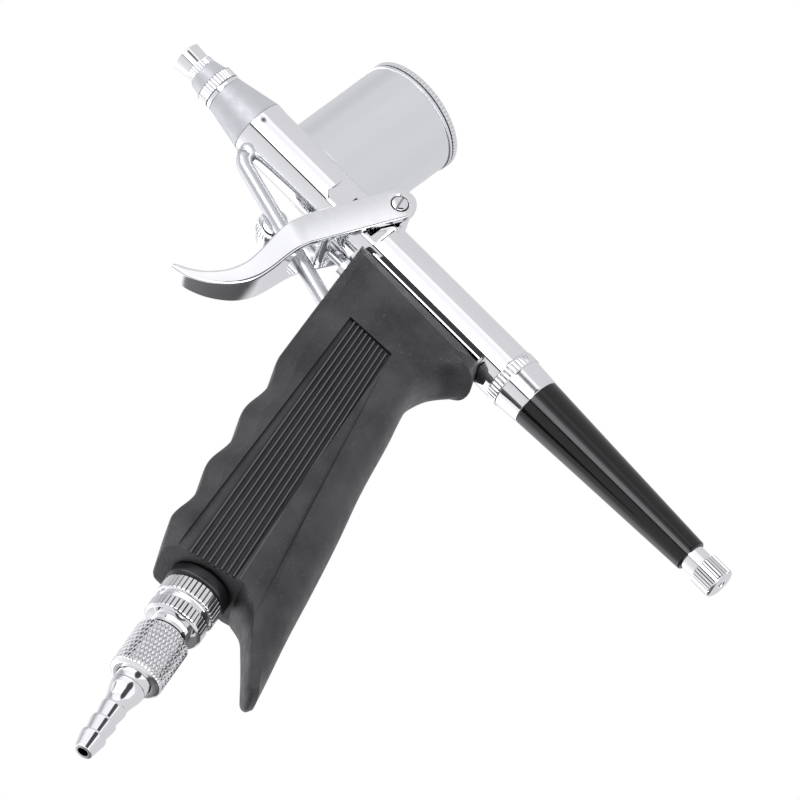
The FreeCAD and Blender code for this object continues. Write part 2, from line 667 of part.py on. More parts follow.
def quick_plug():
    outer = revolve([
        (RING_START, 0), (RING_START, 8.2), (RING_END, 8.2), (RING_END, 5.4), (18.3, 5.4),
        (18.3, 3.2), (22.6, 3.2), (22.6, 2.6), (25.2, 2.6), (25.2, 3.2), (27.5, 3.2), (28.4, 2.6),
        (28.4, 0)])
    bore = revolve([
        (RING_START, 0), (RING_START, TUBE_R), (TUBE_END, TUBE_R), (TUBE_END, 1.7), (28.4, 1.7),
        (28.4, 0)])
    return on_inlet(outer.cut(bore))


def coupler_body():
    outer = revolve([
        (19.0, 0), (19.0, 4.9), (30.5, 4.9), (30.5, BODY_R), (BODY_END, BODY_R), (BODY_END, 0)])
    bore = revolve([
        (19.0, 0), (19.0, 3.26), (30.6, 3.26), (30.6, 2.2), (BODY_END, 2.2), (BODY_END, 0)])
    return on_inlet(outer.cut(bore).cut(ball_set()))


def ball_set():
    balls = []
    for i in range(BALL_COUNT):
        turn = 2 * math.pi * i / BALL_COUNT
        centre = Vec(BALL_X, BALL_RING_R * math.cos(turn), BALL_RING_R * math.sin(turn))
        balls.append(Part.makeSphere(BALL_R, centre))
    return Part.makeCompound(balls)


def coupler_balls():
    return on_inlet(ball_set())


def coupler_seal():
    return on_inlet(o_ring(29.4, 2.65, 0.55))


def coupler_sleeve():
    outer = revolve([
        (SLEEVE_START, 0), (SLEEVE_START, 6.9), (19.2, 7.4), (32.6, 7.4), (SLEEVE_END, 6.5),
        (SLEEVE_END, 0)])
    bore = revolve([
        (SLEEVE_START, 0), (SLEEVE_START, 5.9), (22.4, 5.9), (22.4, 5.0), (25.2, 5.0), (25.2, 5.9),
        (32.4, 5.9), (32.4, 4.95), (SLEEVE_END, 4.95), (SLEEVE_END, 0)])
    return on_inlet(outer.cut(bore))


def coupler_spring():
    return on_inlet(coil(25.4, 30.2, 3, 5.4, 0.3))


def hose_barb():
    flare = [(BODY_END, 0), (BODY_END, BODY_R), (38.4, 4.55), (40.2, 4.0), (41.8, 3.45), (43.4, 3.3)]
    ribs = []
    for i in range(3):
        crest = BARB_FIRST + i * BARB_PITCH
        ribs += [(crest - BARB_LAND / 2, BARB_R), (crest + BARB_LAND / 2, BARB_R)]
        ribs.append((crest + BARB_PITCH - 0.35, 2.75 if i < 2 else 2.5))
    outer = revolve(flare + ribs[:-1] + [(TIP, 2.5), (TIP, 0)])
    spigot = rod(33.0, BODY_END, 2.2)
    return on_inlet(outer.fuse(spigot).cut(rod(33.0, TIP, 1.5)))


STEM_ROOT, STEM_DIR = stem_frame()

NODES = {
    "crown_cap": crown_cap, "nozzle_cap": nozzle_cap, "nozzle": nozzle, "nozzle_seal": nozzle_seal,
    "head": head, "barrel": barrel, "needle_packing": needle_packing, "packing_screw": packing_screw,
    "spring_guide": spring_guide, "tail_collar": tail_collar, "tail_seal": tail_seal,
    "handle_sleeve": handle_sleeve, "stop_guide": stop_guide, "stop_stem": stop_stem,
    "stop_knob": stop_knob,
    "needle": needle, "needle_tube": needle_tube, "chuck_nut": chuck_nut, "needle_spring": needle_spring,
    "trigger": trigger, "pivot_screw": pivot_screw, "pivot_nut": pivot_nut,
    "air_duct": air_duct, "air_control_knob": air_control_knob,
    "valve_block": valve_block, "block_screws": block_screws, "valve_casing": valve_casing,
    "valve_seat": valve_seat, "valve_plunger": valve_plunger, "plunger_seal": plunger_seal,
    "valve_plug": valve_plug, "valve_spring": valve_spring,
    "paint_cup": paint_cup, "cup_floor": cup_floor, "cup_stem": cup_stem, "cup_lid": cup_lid,
    "grip": grip, "handle_tube": handle_tube, "grip_bush": grip_bush, "grip_nut": grip_nut,
    "inlet_seal": inlet_seal, "quick_plug": quick_plug, "coupler_body": coupler_body,
    "coupler_balls": coupler_balls, "coupler_seal": coupler_seal, "coupler_sleeve": coupler_sleeve,
    "coupler_spring": coupler_spring, "hose_barb": hose_barb,
}

for name, make in NODES.items():
    shape = make()
    shape.exportStep("parts/" + name + ".step")
    print(name, shape.isValid(), len(shape.Solids), round(shape.Volume, 1))
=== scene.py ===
import json
import math

import bpy
import bmesh
from mathutils import Matrix, Vector


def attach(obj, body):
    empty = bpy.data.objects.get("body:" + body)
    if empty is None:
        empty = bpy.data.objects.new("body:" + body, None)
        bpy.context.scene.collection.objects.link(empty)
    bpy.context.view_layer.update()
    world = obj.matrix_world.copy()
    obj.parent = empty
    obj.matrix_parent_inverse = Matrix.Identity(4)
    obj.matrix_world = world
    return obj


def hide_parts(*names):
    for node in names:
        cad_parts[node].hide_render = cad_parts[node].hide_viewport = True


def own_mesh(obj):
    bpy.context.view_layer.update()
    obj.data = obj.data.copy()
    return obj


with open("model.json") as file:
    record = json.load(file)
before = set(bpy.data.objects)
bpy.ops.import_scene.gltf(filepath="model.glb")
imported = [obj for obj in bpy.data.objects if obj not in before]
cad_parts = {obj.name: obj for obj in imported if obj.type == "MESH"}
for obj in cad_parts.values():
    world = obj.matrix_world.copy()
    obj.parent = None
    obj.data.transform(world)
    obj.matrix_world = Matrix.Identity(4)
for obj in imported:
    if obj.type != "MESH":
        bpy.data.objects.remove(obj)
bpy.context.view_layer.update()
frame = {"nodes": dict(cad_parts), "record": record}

# Shapes below are written in millimetres, in the row's frame: +X along the barrel from the spray
# outlet to the tail, +Z up, -Y the user's left. Each mesh is scaled to metres when it is made.
MM = 0.001
X = (1, 0, 0)
ORIGIN = (0, 0, 0)

RAKE = math.radians(16)          # the grip leans back by this angle
INLET = Vector((116.9, 0, -107.4))
INLET_DIR = Vector((math.sin(RAKE), 0, -math.cos(RAKE)))
ACROSS = Vector((math.cos(RAKE), 0, math.sin(RAKE)))    # from the grip's front to its rear
PIVOT = Vector((69.2, 0, 8.5))
CUP = Vector((42, 22, 0))
GRIP_HALF = 11.0
GRIP_TOP = -7.3


# --- materials ---

class Shader:
    """A material whose colour, roughness and bump come from procedural nodes in the row's frame."""

    def __init__(self, name, metallic, roughness, **sockets):
        self.material = bpy.data.materials.new(name)
        self.material.use_nodes = True
        self.tree = self.material.node_tree
        self.shader = self.tree.nodes["Principled BSDF"]
        self.shader.inputs["Metallic"].default_value = metallic
        self.shader.inputs["Roughness"].default_value = roughness
        for socket, value in sockets.items():
            self.shader.inputs[socket.replace("_", " ")].default_value = value
        self.place = self.tree.nodes.new("ShaderNodeTexCoord").outputs["Object"]

    def link(self, source, target):
        self.tree.links.new(source, target)

    def noise(self, scale, detail=4, stretch=(1, 1, 1)):
        """Noise of about 1/scale metres, stretched along an axis where that stretch is below 1."""
        mapping = self.tree.nodes.new("ShaderNodeMapping")
        mapping.inputs["Scale"].default_value = stretch
        texture = self.tree.nodes.new("ShaderNodeTexNoise")
        texture.inputs["Scale"].default_value = scale
        texture.inputs["Detail"].default_value = detail
        self.link(self.place, mapping.inputs["Vector"])
        self.link(mapping.outputs["Vector"], texture.inputs["Vector"])
        return texture.outputs["Fac"]

    def cells(self, scale):
        """Distance to the edge of Voronoi cells of about 1/scale metres, for a pebbled grain."""
        texture = self.tree.nodes.new("ShaderNodeTexVoronoi")
        texture.feature = "DISTANCE_TO_EDGE"
        texture.inputs["Scale"].default_value = scale
        self.link(self.place, texture.inputs["Vector"])
        return texture.outputs["Distance"]

    def edges(self, low, high):
        """0 on flat surfaces and 1 on raised edges, where handling wears the finish."""
        geometry = self.tree.nodes.new("ShaderNodeNewGeometry")
        return self.ranged(geometry.outputs["Pointiness"], low, high, 0, 1)

    def recesses(self, reach, low, high):
        """0 deep in grooves and gaps narrower than reach metres, 1 in the open."""
        node = self.tree.nodes.new("ShaderNodeAmbientOcclusion")
        node.samples = 12
        node.inputs["Distance"].default_value = reach
        return self.ranged(node.outputs["AO"], low, high, 0, 1)

    def ranged(self, value, low, high, to_low, to_high):
        node = self.tree.nodes.new("ShaderNodeMapRange")
        node.inputs["From Min"].default_value = low
        node.inputs["From Max"].default_value = high
        node.inputs["To Min"].default_value = to_low
        node.inputs["To Max"].default_value = to_high
        self.link(value, node.inputs["Value"])
        return node.outputs["Result"]

    def mixed(self, factor, first, second):
        """Colour between two, each a colour or another output."""
        node = self.tree.nodes.new("ShaderNodeMix")
        node.data_type = "RGBA"
        for socket, value in zip((node.inputs[6], node.inputs[7]), (first, second)):
            if isinstance(value, tuple):
                socket.default_value = (*value, 1)
            else:
                self.link(value, socket)
        self.link(factor, node.inputs[0])
        return node.outputs[2]

    def colour(self, source):
        self.link(source, self.shader.inputs["Base Color"])

    def roughness(self, value, low, high):
        """Roughness between low and high as a noise runs over its usual range."""
        self.link(self.ranged(value, 0.3, 0.7, low, high), self.shader.inputs["Roughness"])

    def bump(self, height, depth):
        """Bump whose full height is depth metres; further bumps add to the ones before."""
        node = self.tree.nodes.new("ShaderNodeBump")
        node.inputs["Distance"].default_value = depth
        target = self.shader.inputs["Normal"]
        if target.is_linked:
            self.link(target.links[0].from_socket, node.inputs["Normal"])
        self.link(height, node.inputs["Height"])
        self.link(node.outputs["Normal"], target)


def chrome_plate(name, low, high, dull=(0.9, 0.905, 0.915), bright=(0.96, 0.96, 0.965)):
    """Bright plating, roughness from low to high, with painted shade darkening its grooves and the gaps
    between parts.
    """
    plate = Shader(name, 1.0, low)
    plating_tone = plate.mixed(plate.noise(60), dull, bright)
    # Painted shade: an occlusion mask darkens narrow grooves such as knurls, then a wider one darkens gaps
    # between parts.
    groove_shaded = plate.mixed(plate.recesses(0.0006, 0.3, 0.85), (0.06, 0.06, 0.062), plating_tone)
    plate.colour(plate.mixed(plate.recesses(0.003, 0.1, 0.3), (0.02, 0.02, 0.02), groove_shaded))
    plate.roughness(plate.noise(900, stretch=(0.12, 1, 1)), low, high)
    plate.bump(plate.noise(240, 2), 0.000012)
    return plate.material


def satin_nickel():
    """Fine turned nickel: rings of tool marks round the spray axis under a soft sheen."""
    nickel = Shader("satin_nickel", 0.82, 0.6)
    marks = nickel.noise(300, 3, stretch=(30, 0.4, 0.4))
    nickel.colour(nickel.mixed(marks, (0.76, 0.777, 0.795), (0.85, 0.862, 0.88)))
    nickel.roughness(nickel.noise(500), 0.56, 0.68)
    nickel.bump(marks, 0.000008)
    return nickel.material


def cup_nickel():
    """Drawn and polished cup wall: faint streaks along its axis."""
    nickel = Shader("cup_nickel", 1.0, 0.12)
    streaks = nickel.noise(160, 4, stretch=(1, 1, 0.05))
    nickel.colour(nickel.mixed(streaks, (0.86, 0.87, 0.885), (0.95, 0.955, 0.965)))
    nickel.roughness(nickel.noise(420, 3, stretch=(1, 1, 0.1)), 0.08, 0.17)
    nickel.bump(streaks, 0.00001)
    return nickel.material


def black_anodised():
    """Gloss black tail handle, with faint turning marks and dust."""
    black = Shader("black_anodised", 0.0, 0.1, IOR=1.5)
    dust = black.noise(700, 5)
    tint = black.mixed(black.ranged(dust, 0.55, 0.75, 0, 1), (0.003, 0.003, 0.0035), (0.009, 0.009, 0.01))
    black.colour(black.mixed(black.edges(0.56, 0.66), tint, (0.04, 0.04, 0.042)))
    black.roughness(black.noise(260, 3, stretch=(6, 0.5, 0.5)), 0.08, 0.15)
    return black.material


def grip_plastic():
    """Moulded grip: mottled charcoal faces with a pebbled grain."""
    grip = Shader("grip_plastic", 0.0, 0.5, IOR=1.48)
    mottle = grip.ranged(grip.noise(75, 6), 0.36, 0.66, 0, 1)
    tone = grip.mixed(mottle, (0.04, 0.04, 0.042), (0.088, 0.088, 0.092))
    speck = grip.ranged(grip.noise(1500, 3), 0.62, 0.78, 0, 1)
    tone = grip.mixed(speck, tone, (0.13, 0.13, 0.135))
    tone = grip.mixed(grip.edges(0.53, 0.62), tone, (0.15, 0.15, 0.155))
    # Painted shade: an occlusion mask darkens the grooves between the ribs.
    tone = grip.mixed(grip.recesses(0.0014, 0.45, 0.95), (0.006, 0.006, 0.006), tone)
    # Painted shade: a wide occlusion mask darkens the grip where other surfaces close over it.
    grip.colour(grip.mixed(grip.recesses(0.03, 0.35, 0.9), (0.009, 0.009, 0.009), tone))
    grip.roughness(grip.noise(340, 4), 0.34, 0.5)
    grip.bump(grip.ranged(grip.cells(1150), 0, 0.3, 0, 1), 0.00004)
    grip.bump(grip.noise(2600, 3), 0.00003)
    return grip.material


def bush_plastic():
    """The smoother moulded collar under the grip."""
    bush = Shader("bush_plastic", 0.0, 0.34, IOR=1.5)
    bush.colour(bush.mixed(bush.noise(220, 5), (0.012, 0.012, 0.013), (0.028, 0.028, 0.03)))
    bush.roughness(bush.noise(500, 3), 0.28, 0.4)
    bush.bump(bush.noise(1800, 3), 0.000012)
    return bush.material


def plain_metal(name, light, dark, roughness):
    metal = Shader(name, 1.0, roughness)
    metal.colour(metal.mixed(metal.noise(380, 5), light, dark))
    metal.roughness(metal.noise(900, 3, stretch=(0.1, 1, 1)), roughness * 0.8, roughness * 1.25)
    return metal.material


def plain_polymer(name, light, dark, roughness):
    polymer = Shader(name, 0.0, roughness)
    polymer.colour(polymer.mixed(polymer.noise(420, 5), light, dark))
    polymer.bump(polymer.noise(1900, 3), 0.00001)
    return polymer.material


MATERIALS = {
    "chrome": chrome_plate("chrome_plate", 0.03, 0.075),
    "satin_nickel": satin_nickel(),
    "black_gloss": black_anodised(),
    "black_plastic": grip_plastic(),
    "steel": plain_metal("spring_steel", (0.62, 0.63, 0.65), (0.5, 0.51, 0.53), 0.22),
    "brass": plain_metal("turned_brass", (0.86, 0.66, 0.32), (0.74, 0.53, 0.23), 0.2),
    "ptfe": plain_polymer("white_ptfe", (0.86, 0.86, 0.85), (0.74, 0.74, 0.73), 0.35),
    "rubber": plain_polymer("black_rubber", (0.018, 0.018, 0.018), (0.032, 0.032, 0.032), 0.6),
}
CUP_NICKEL = cup_nickel()
BUSH_PLASTIC = bush_plastic()
TRIGGER_CHROME = chrome_plate("trigger_chrome", 0.1, 0.17)
INNER_CHROME = chrome_plate("tumbled_chrome", 0.2, 0.3)
SATIN_CHROME = chrome_plate("duct_chrome", 0.34, 0.44, (0.66, 0.675, 0.69), (0.74, 0.75, 0.765))


# --- mesh tools ---

def from_faces(name, verts, faces):
    """An object from vertices in millimetres, with its normals facing out."""
    mesh = bpy.data.meshes.new(name)
    mesh.from_pydata([Vector(v) * MM for v in verts], [], faces)
    welded = bmesh.new()
    welded.from_mesh(mesh)
    bmesh.ops.recalc_face_normals(welded, faces=welded.faces)
    welded.to_mesh(mesh)
    welded.free()
    piece = bpy.data.objects.new(name, mesh)
    bpy.context.collection.objects.link(piece)
    return piece


def boolean(piece, cutter, operation="DIFFERENCE"):
    """Cuts or adds the cutter for good, and removes it."""
    step = piece.modifiers.new("step", "BOOLEAN")
    step.operation = operation
    step.object = cutter
    step.solver = "EXACT"
    bpy.context.view_layer.update()
    shaped = piece.evaluated_get(bpy.context.evaluated_depsgraph_get())
    mesh = bpy.data.meshes.new_from_object(shaped)
    piece.modifiers.clear()
    piece.data = mesh
    bpy.data.objects.remove(cutter)


def install(piece, body, slot, nodes, material=None, crease=32):
    """Shades the piece smooth between creases and puts it on its body in place of its CAD nodes."""
    piece.data.materials.clear()
    piece.data.materials.append(material or MATERIALS[slot])
    piece.data.shade_smooth()
    piece.data.set_sharp_from_angle(angle=math.radians(crease))
    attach(piece, body)
    if nodes:
        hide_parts(*nodes)


def eased(profile, steps=4):
    """Points of a closed profile; a third value on a point eases its corner over that length."""
    points = []
    for i, entry in enumerate(profile):
        corner = Vector(entry[:2])
        if len(entry) < 3:
            points.append(corner)
            continue
        before = (Vector(profile[i - 1][:2]) - corner).normalized() * entry[2]
        after = (Vector(profile[(i + 1) % len(profile)][:2]) - corner).normalized() * entry[2]
        for k in range(steps + 1):
            t = k / steps
            points.append(corner + before * (1 - t) ** 2 + after * t ** 2)
    return points


SEGMENTS = 128           # sides of a smooth turned part
LONG_RUN = 2.4           # a straight run longer than this gets a ring this far in from each end:
BRACE = 0.3


def braced(points):
    """Adds a ring near each end of a long straight run, so that its corners don't shade it."""
    rings = []
    for a, b in zip(points, points[1:] + points[:1]):
        rings.append(a)
        if (b - a).length > LONG_RUN:
            inset = (b - a).normalized() * BRACE
            rings += [a + inset, b - inset]
    return rings


CROSSING_SAMPLES = 8     # points round the part for each groove of a crossed knurl
CROSSING_STEP = 0.2      # and the distance between its rings
GROOVE_SLOPE = 1.8       # how steeply its grooves rise to flat tops
KNURL_SKIN = 0.5         # rings this far below the grooves still belong to the outer surface


class Knurl:
    """Grooves in the outer surface between two stations of a turned part."""

    def __init__(self, start, end, count, depth, heights=(0, 1, 1, 1, 1, 1), twist=None):
        self.start, self.end = start, end
        self.count, self.depth, self.heights = count, depth, heights
        self.twist = twist       # turns per mm of the two crossing sets of grooves, or None
        self.samples = count * (CROSSING_SAMPLES if twist else len(heights))

    def stations(self, points):
        """Adds rings in the band for crossing grooves, which need them along the part too."""
        if not self.twist:
            return points
        dense = []
        for a, b in zip(points, points[1:] + points[:1]):
            dense.append(a)
            inside = self.start <= min(a.x, b.x) and max(a.x, b.x) <= self.end
            if inside and abs(a.x - b.x) > 1 and a.y == b.y:
                rings = int(abs(b.x - a.x) / CROSSING_STEP)
                dense += [a.lerp(b, k / rings) for k in range(1, rings)]
        return dense

    def radius(self, s, r, j, crest):
        if not self.start <= s <= self.end:
            return r
        if self.twist is None:
            height = self.heights[j % len(self.heights)]
        else:
            turn = j / self.samples * self.count
            height = min(self.ridge(turn + s * self.twist), self.ridge(turn - s * self.twist))
        return min(r, crest - self.depth * (1 - height))

    @staticmethod
    def ridge(phase):
        off_groove = abs(phase % 1 - 0.5) * 2
        return min(1, (1 - off_groove) * GROOVE_SLOPE)


def turned_mesh(name, origin, along, profile, knurl=None, shape=None):
    """A part turned about the axis from origin along a direction, from a closed (s, r) profile."""
    along = Vector(along).normalized()
    side = Vector((0, 1, 0)) if abs(along.y) < 0.9 else Vector((1, 0, 0))
    side = (side - along * side.dot(along)).normalized()
    third = along.cross(side)
    points = braced(eased(profile))
    if knurl:
        points = knurl.stations(points)
        crest = max(p.y for p in points if knurl.start <= p.x <= knurl.end)
    count = knurl.samples if knurl else SEGMENTS
    verts, rings = [], []
    for s, r in points:
        centre = Vector(origin) + along * s
        if r < 1e-6:
            rings.append([len(verts)] * count)
            verts.append(centre)
            continue
        rings.append(list(range(len(verts), len(verts) + count)))
        outside = knurl and r > crest - knurl.depth - KNURL_SKIN
        for j in range(count):
            turn = 2 * math.pi * j / count
            reach = knurl.radius(s, r, j, crest) if outside else r
            verts.append(centre + side * reach * math.cos(turn) + third * reach * math.sin(turn))
    if shape:
        verts = [shape(v) for v in verts]
    faces = []
    for a, b in zip(rings, rings[1:] + rings[:1]):
        for j in range(count):
            k = (j + 1) % count
            loop = list(dict.fromkeys((a[j], a[k], b[k], b[j])))
            if len(loop) > 2:
                faces.append(loop)
    return from_faces(name, verts, faces)


def turned(name, origin, along, profile, body, slot, nodes, material=None, **extra):
    """A turned part, installed on its body in place of its CAD nodes."""
    install(turned_mesh(name, origin, along, profile, **extra), body, slot, nodes, material)


def prism(name, outline, low, high, axis="y"):
    """A prism over a closed outline of (x, z) points along Y, or of (y, z) points along X."""
    lift = {"y": lambda p, t: (p[0], t, p[1]), "x": lambda p, t: (t, p[0], p[1])}[axis]
    n = len(outline)
    verts = [lift(p, low) for p in outline] + [lift(p, high) for p in outline]
    faces = [list(range(n)), list(range(n, 2 * n))]
    faces += [[i, (i + 1) % n, n + (i + 1) % n, n + i] for i in range(n)]
    return from_faces(name, verts, faces)


def block(x0, x1, half, z0, z1):
    """A box as wide to the left as to the right, used as a cutter."""
    return prism("block", [(x0, z0), (x1, z0), (x1, z1), (x0, z1)], -half, half)


def lofted(name, loops):
    """A closed skin over a row of loops that have the same number of points."""
    size = len(loops[0])
    verts = [p for loop in loops for p in loop]
    faces = [list(range(size)), list(range(len(verts) - size, len(verts)))]
    for i in range(len(loops) - 1):
        for j in range(size):
            k = (j + 1) % size
            faces.append([i * size + j, i * size + k, (i + 1) * size + k, (i + 1) * size + j])
    return from_faces(name, verts, faces)


def smooth(points, steps=8):
    """Catmull-Rom curve through control points, of any dimension, both ends included."""
    points = [Vector(p) for p in points]
    padded = [points[0] * 2 - points[1]] + points + [points[-1] * 2 - points[-2]]
    curve = []
    for a, b, c, d in zip(padded, padded[1:], padded[2:], padded[3:]):
        for k in range(steps):
            t = k / steps
            pull = (c - a) * t + (a * 2 - b * 5 + c * 4 - d) * t * t + (b * 3 - a - c * 3 + d) * t ** 3
            curve.append(b + pull * 0.5)
    return curve + [points[-1]]


def refined(node, body, slot, material=None):
    """The CAD solid's own shape with its corners joined, so that chrome reflects smoothly on it."""
    mesh = frame["nodes"][node].data.copy()
    welded = bmesh.new()
    welded.from_mesh(mesh)
    bmesh.ops.remove_doubles(welded, verts=welded.verts, dist=0.002 * MM)
    welded.to_mesh(mesh)
    welded.free()
    piece = bpy.data.objects.new(node + "_plated", mesh)
    bpy.context.collection.objects.link(piece)
    install(piece, body, slot, [node], material, crease=25)
    return piece


# --- spray head ---

ROUNDED = (0, 0.72, 0.96, 1, 0.96, 0.72)       # heights across one rounded rib of a knurl


def spray_head():
    turned("crown", ORIGIN, X, [
        (0, 3.35, 0.15), (0, 4.15, 0.25), (4.5, 3.78), (4.5, 4.2, 0.15), (6.65, 4.2, 0.15),
        (6.65, 2.5), (3.2, 2.5)],
        "gun", "chrome", ["crown_cap"], knurl=Knurl(4.45, 6.7, 28, 0.24, (0, 0.75, 1, 1, 1, 0.75)))
    turned("nozzle_cap_cone", ORIGIN, X, [
        (3.3, 0.8), (3.3, 2.5), (6.65, 2.5), (6.65, 4.28, 0.1), (10.55, 5.1), (10.55, 5.6),
        (10.56, 5.2), (10.6, 4.2), (4.3, 0.8)],
        "gun", "satin_nickel", ["nozzle_cap"])
    turned("nozzle_cap_ring", ORIGIN, X, [
        (10.56, 5.2), (10.56, 5.62, 0.25), (13.45, 5.62, 0.2), (13.45, 5.2), (13.65, 5.2),
        (13.65, 5.5, 0.1), (14.8, 5.5, 0.15), (14.8, 4.2), (10.6, 4.2)],
        "gun", "chrome", [], knurl=Knurl(10.5, 13.5, 34, 0.3, ROUNDED))
    turned("head_cone", ORIGIN, X, [
        (10.8, 4.2), (14.8, 4.2), (14.8, 5.45, 0.15), (27.0, 7.85, 0.18), (27.0, 6.0), (32.8, 6.0),
        (32.8, 1.3), (10.8, 1.3)],
        "gun", "satin_nickel", ["head"])


# --- barrel ---

BARREL_R = 7.6
FORK_HALF = 6.4          # half the width that the milled flats leave between the trigger plates
MILL_START, MILL_END, MILL_RUNOUT = 54.5, 74.0, 1.9


def milled(point):
    """The flats that the trigger plates pass, run out at each end in the cutter's curve."""
    x = point.x
    if MILL_START < x < MILL_END:
        into = min(x - MILL_START, MILL_END - x, MILL_RUNOUT)
        bite = math.sqrt(MILL_RUNOUT ** 2 - (MILL_RUNOUT - into) ** 2) / MILL_RUNOUT
        half = BARREL_R - (BARREL_R - FORK_HALF) * bite
        point.y = max(-half, min(half, point.y))
    return point


def barrel():
    runout = [MILL_START + MILL_RUNOUT * k / 8 for k in range(9)]
    stations = [(x, BARREL_R) for x in runout]
    stations += [(MILL_START + MILL_END - x, BARREL_R) for x in reversed(runout)]
    piece = turned_mesh("barrel_tube", ORIGIN, X, [
        (27.0, 6.0), (27.0, 7.88, 0.35), (30.0, BARREL_R, 1.2)] + stations + [
        (120.7, BARREL_R, 0.15), (120.7, 5.2), (112, 5.2), (112, 4.6), (58, 4.6), (58, 3.0), (51, 3.0),
        (51, 2.5), (47, 2.5), (47, 1.3), (32.8, 1.3), (32.8, 6.0)], shape=milled)
    boolean(piece, block(60.3, 71, 9, -3.2, 1.9))
    ear = [PIVOT.xz + Vector((math.cos(a), math.sin(a))) * 3.7 for a in
           [math.pi * k / 24 for k in range(25)]]
    ear += [Vector((65.5, 5.6)), Vector((72.9, 5.6))]
    boolean(piece, prism("ear", ear, -FORK_HALF + 0.02, FORK_HALF - 0.02), "UNION")
    install(piece, "gun", "chrome", ["barrel"])


def tail():
    turned("tail_ring", ORIGIN, X, [
        (112, 3.7), (112, 5.2), (120.7, 5.2), (120.7, 7.86, 0.2), (121.15, 7.86), (123.45, 7.86),
        (123.9, 7.86, 0.2), (123.9, 7.55, 0.08), (131.0, 7.1, 0.12), (131.2, 6.9), (131.2, 5.3),
        (137.2, 5.3), (137.2, 3.7)],
        "gun", "chrome", ["tail_collar"], knurl=Knurl(121.1, 123.5, 36, 0.34, ROUNDED))
    turned("tail_handle", ORIGIN, X, [
        (131.2, 5.3), (131.2, 6.99, 0.15), (150, 6.15, 6), (188.3, 4.55, 0.15), (188.6, 4.3, 0.1),
        (188.6, 3.75), (172, 3.75), (138, 4.1), (138, 5.3)],
        "gun", "black_gloss", ["handle_sleeve"])
    turned("stop_knob_turned", ORIGIN, X, [
        (185.4, 2.05), (185.4, 3.65, 0.1), (192.7, 3.65), (192.8, 3.9), (192.8, 4.45, 0.3),
        (199.0, 4.45, 0.35), (199.5, 3.6, 0.5), (199.5, 1.3, 0.2), (199.2, 1.15), (196, 1.15), (196, 0),
        (192.85, 0), (192.85, 2.05)],
        "stop_knob", "chrome", ["stop_knob"], knurl=Knurl(192.75, 199.3, 32, 0.26))


# --- trigger ---

PLATE_IN = 7.0           # how far from the middle the plates' inner and outer faces are
PLATE_OUT = 8.9
PLATE_LOW = 7.7          # the plates come closer together towards the finger horn
PLATE_CORNER = 0.45
PIVOT_END = 4.4          # radius of the plates' round top
CROTCH = -23.4           # the rounded bottom of the gap between the plates
ARCH_HALF = 6.5
ARCH_RISE = 5.5
LEAN = math.radians(22)
DOWN = Vector((-math.sin(LEAN), -math.cos(LEAN)))       # along the plates, in (x, z)
BACK = Vector((math.cos(LEAN), -math.sin(LEAN)))


def rounded_section(front, rear, half, corner):
    """Loop of points of a rounded rectangle between two (x, z) edges, half wide each side."""
    middle = (front + rear) / 2
    reach = (rear - front).length / 2
    across = (rear - front).normalized() if reach > 1e-6 else BACK
    corner = min(corner, reach * 0.96, half * 0.96)
    loop = []
    for quarter in range(4):
        sx, sy = ((1, 1), (-1, 1), (-1, -1), (1, -1))[quarter]
        for k in range(7):
            a = math.radians(90 * quarter + 15 * k)
            u = sx * (reach - corner) + corner * math.cos(a)
            v = sy * (half - corner) + corner * math.sin(a)
            place = middle + across * u
            loop.append(Vector((place.x, v, place.y)))
    return loop


def trigger_stations():
    """(front, rear, half width, corner) from the round top down to the finger tip."""
    pivot = PIVOT.xz
    stations = []
    for k in range(1, 13):
        a = math.radians(90 - 7.5 * k)
        rise, chord = PIVOT_END * math.sin(a), PIVOT_END * math.cos(a)
        stations.append((pivot - DOWN * rise - BACK * chord, pivot - DOWN * rise + BACK * chord,
                         PLATE_OUT, PLATE_CORNER))
    top_front, top_rear = pivot - BACK * PIVOT_END, pivot + BACK * PIVOT_END
    bend_front, bend_rear = Vector((55.9, -13.0)), Vector((63.2, -17.6))
    for k in range(1, 10):
        t = k / 10
        half = PLATE_OUT + (PLATE_LOW - PLATE_OUT) * t
        stations.append((top_front.lerp(bend_front, t), top_rear.lerp(bend_rear, t), half,
                         PLATE_CORNER))
    horn = smooth([
        (55.9, -13.0, 63.2, -17.6, PLATE_LOW, 0.5), (54.9, -18.0, 62.5, -21.4, 7.5, 0.7),
        (55.2, -22.8, 62.3, -25.2, 6.9, 0.8), (55.9, -28.0, 62.2, -29.8, 6.1, 0.8),
        (56.0, -33.0, 61.6, -34.6, 5.4, 0.9), (54.5, -38.2, 59.4, -39.6, 4.7, 0.9),
        (51.3, -42.6, 55.0, -44.4, 3.9, 0.9), (47.9, -45.2, 49.9, -47.4, 3.2, 0.8),
        (45.2, -46.3, 45.9, -48.3, 2.6, 1.1), (43.9, -46.9, 44.1, -48.3, 1.9, 0.9)], 7)
    stations += [(Vector(p[0:2]), Vector(p[2:4]), p[4], p[5]) for p in horn]
    return stations


def trigger():
    """One skin from the round top to the finger tip, cut by the arch and the pivot's seats."""
    piece = lofted("trigger_horn", [rounded_section(*s) for s in trigger_stations()])
    arch = [(-PLATE_IN, 20), (PLATE_IN, 20), (PLATE_IN, -8)]
    for k in range(17):
        a = math.pi * k / 16
        arch.append((ARCH_HALF * math.cos(a), CROTCH + ARCH_RISE * (1 - math.sin(a))))
    arch.append((-PLATE_IN, -8))
    boolean(piece, prism("arch", arch, 40, 80, "x"))
    for side in (-1, 1):
        boolean(piece, turned_mesh("seat", PIVOT, (0, side, 0), [
            (5, 0), (5, 1.56), (7.75, 1.56), (7.75, 2.35), (8.55, 2.35), (9.2, 3.0), (9.2, 0)]))
    install(piece, "trigger", "chrome", ["trigger"], TRIGGER_CHROME, crease=28)
    trigger_pins()


